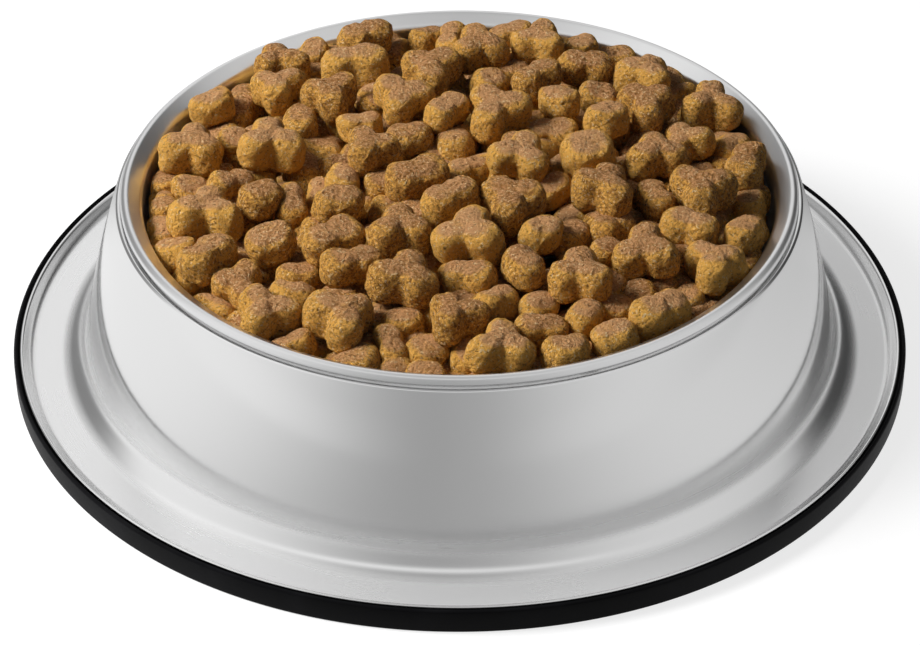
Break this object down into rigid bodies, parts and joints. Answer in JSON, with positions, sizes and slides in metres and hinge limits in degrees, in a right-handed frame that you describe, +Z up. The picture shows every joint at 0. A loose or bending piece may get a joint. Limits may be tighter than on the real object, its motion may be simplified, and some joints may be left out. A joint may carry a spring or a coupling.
{
  "type": "pet food bowl filled with kibble",
  "caption": "Round non-tip steel pet bowl with a flared skirt, a rolled rim and a black rubber base ring, heaped with dry brown kibble.",
  "frame": {"origin": "centre of the base on the floor, under the middle of the rubber ring", "axes": "+Z up, along the axis that the bowl is turned about; +X to the right and -Y towards the viewer, as the picture shows the heap"},
  "size_m": [0.24, 0.24, 0.0639],
  "materials": {
    "polished_steel": "polished",
    "satin_steel": "satin",
    "black_rubber": "semi-matte",
    "kibble_brown": "rough, baked",
    "kibble_tan": "rough, baked",
    "kibble_dark": "rough, baked"
  },
  "bodies": {
    "root": {"food_basin": "polished_steel", "skirt": "satin_steel", "rubber_ring": "black_rubber", "kibble_bed": "kibble_brown", "kibble_01": "kibble_tan", "kibble_02": "kibble_dark", "kibble_03": "kibble_brown", "kibble_04": "kibble_tan", "kibble_05": "kibble_dark", "kibble_06": "kibble_brown", "kibble_07": "kibble_tan", "kibble_08": "kibble_dark", "kibble_09": "kibble_brown", "kibble_10": "kibble_tan", "kibble_11": "kibble_dark", "kibble_12": "kibble_brown", "kibble_13": "kibble_tan", "kibble_14": "kibble_dark", "kibble_15": "kibble_brown", "kibble_16": "kibble_tan", "kibble_17": "kibble_dark", "kibble_18": "kibble_brown", "kibble_19": "kibble_tan", "kibble_20": "kibble_dark", "kibble_21": "kibble_brown", "kibble_22": "kibble_tan", "kibble_23": "kibble_dark", "kibble_24": "kibble_brown", "kibble_25": "kibble_tan", "kibble_26": "kibble_dark", "kibble_27": "kibble_brown", "kibble_28": "kibble_tan", "kibble_29": "kibble_dark", "kibble_30": "kibble_brown", "kibble_31": "kibble_tan", "kibble_32": "kibble_dark", "kibble_33": "kibble_brown", "kibble_34": "kibble_tan", "kibble_35": "kibble_dark", "kibble_36": "kibble_brown", "kibble_37": "kibble_tan", "kibble_38": "kibble_dark", "kibble_39": "kibble_brown", "kibble_40": "kibble_tan", "kibble_41": "kibble_dark", "kibble_42": "kibble_brown", "kibble_43": "kibble_tan", "kibble_44": "kibble_dark", "kibble_45": "kibble_brown", "kibble_46": "kibble_tan", "kibble_47": "kibble_dark", "kibble_48": "kibble_brown", "kibble_49": "kibble_tan", "kibble_50": "kibble_dark", "kibble_51": "kibble_brown", "kibble_52": "kibble_tan", "kibble_53": "kibble_dark", "kibble_54": "kibble_brown", "kibble_55": "kibble_tan", "kibble_56": "kibble_dark"}
  },
  "joints": []
}
